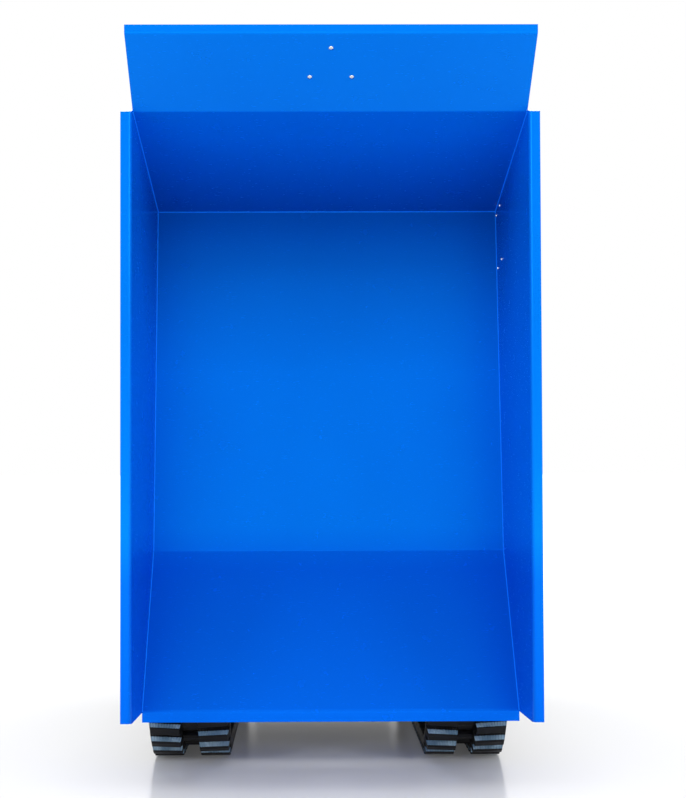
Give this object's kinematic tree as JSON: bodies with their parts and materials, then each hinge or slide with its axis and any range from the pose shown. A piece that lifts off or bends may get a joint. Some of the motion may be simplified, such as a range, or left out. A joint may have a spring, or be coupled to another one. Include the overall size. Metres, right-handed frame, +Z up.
{
  "type": "tracked site dumper",
  "caption": "Small pedestrian site dumper on rubber tracks, its open steel skip tipped forward by a ram, with an engine bay, control desk and fold-down step behind.",
  "frame": {"origin": "on the ground under the middle of the machine, front to rear, with the skip tipped", "axes": "+X to the left side of the machine, -Y to its front, +Z up"},
  "size_m": [0.798, 2.183, 1.4581],
  "materials": {
    "track_rubber": "matte moulded rubber",
    "black_rubber": "matte",
    "dark_steel": "painted casting",
    "black_paint": "satin paint",
    "bright_steel": "turned",
    "blue_paint": "gloss paint",
    "skip_paint": "gloss paint",
    "grey_plastic": "moulded",
    "black_plastic": "moulded",
    "chrome": "polished"
  },
  "bodies": {
    "chassis": {"track_left": "track_rubber", "track_right": "track_rubber", "idler_left": "dark_steel", "idler_right": "dark_steel", "sprocket_left": "dark_steel", "sprocket_right": "dark_steel", "travel_motor_left": "dark_steel", "travel_motor_right": "dark_steel", "rollers_left": "dark_steel", "rollers_right": "dark_steel", "track_frame_left": "black_paint", "track_frame_right": "black_paint", "frame_plate_left": "black_paint", "frame_plate_right": "black_paint", "hinge_pin_left": "bright_steel", "hinge_pin_right": "bright_steel", "cross_members": "black_paint", "belly_plate": "black_paint", "cylinder_mount": "black_paint", "rest_beam": "black_paint", "rest_pads": "black_rubber", "deck": "black_paint", "rear_panel": "black_paint", "tow_hook": "black_paint", "lifting_eyes": "black_paint", "hood": "blue_paint", "engine_block": "dark_steel", "console": "grey_plastic", "levers": "black_plastic", "grab_rail": "black_paint", "filler_caps": "black_plastic", "exhaust": "dark_steel"},
    "skip": {"skip_bed": "skip_paint", "skip_back": "skip_paint", "skip_side_left": "skip_paint", "skip_side_right": "skip_paint", "guard_plate": "skip_paint", "wall_plate": "skip_paint", "skip_rails": "skip_paint", "eye_ears": "skip_paint"},
    "cylinder_barrel": {"cylinder_barrel": "black_paint"},
    "cylinder_rod": {"cylinder_rod": "chrome"},
    "engine_door_left": {"engine_door_left": "blue_paint"},
    "engine_door_right": {"engine_door_right": "blue_paint"},
    "step": {"step": "black_paint"}
  },
  "joints": [
    {"name": "skip_tip", "type": "hinge", "parent": "chassis", "child": "skip", "pos_m": [0, -0.441, 0.4], "axis": [1, 0, 0], "range_deg": [-91.1, 0]},
    {"name": "cylinder_swing", "type": "hinge", "parent": "chassis", "child": "cylinder_barrel", "pos_m": [0, -0.076, 0.262], "axis": [1, 0, 0], "range_deg": [-1.47, 0]},
    {"name": "rod_slide", "type": "slide", "parent": "cylinder_barrel", "child": "cylinder_rod", "axis": [0, -0.8535, 0.5211], "range_m": [-0.15571, 0]},
    {"name": "door_left_hinge", "type": "hinge", "parent": "chassis", "child": "engine_door_left", "pos_m": [0.361, 0.78, 0.637], "axis": [0, 0, 1], "range_deg": [0, 100]},
    {"name": "door_right_hinge", "type": "hinge", "parent": "chassis", "child": "engine_door_right", "pos_m": [-0.361, 0.78, 0.637], "axis": [0, 0, -1], "range_deg": [0, 100]},
    {"name": "step_fold", "type": "hinge", "parent": "chassis", "child": "step", "pos_m": [0, 0.814, 0.214], "axis": [1, 0, 0], "range_deg": [0, 86]}
  ],
  "couplings": [
    {"joint": "cylinder_swing", "follows": "skip_tip", "ratio": 0.016042},
    {"joint": "rod_slide", "follows": "skip_tip", "m_per_rad": 0.097868}
  ]
}
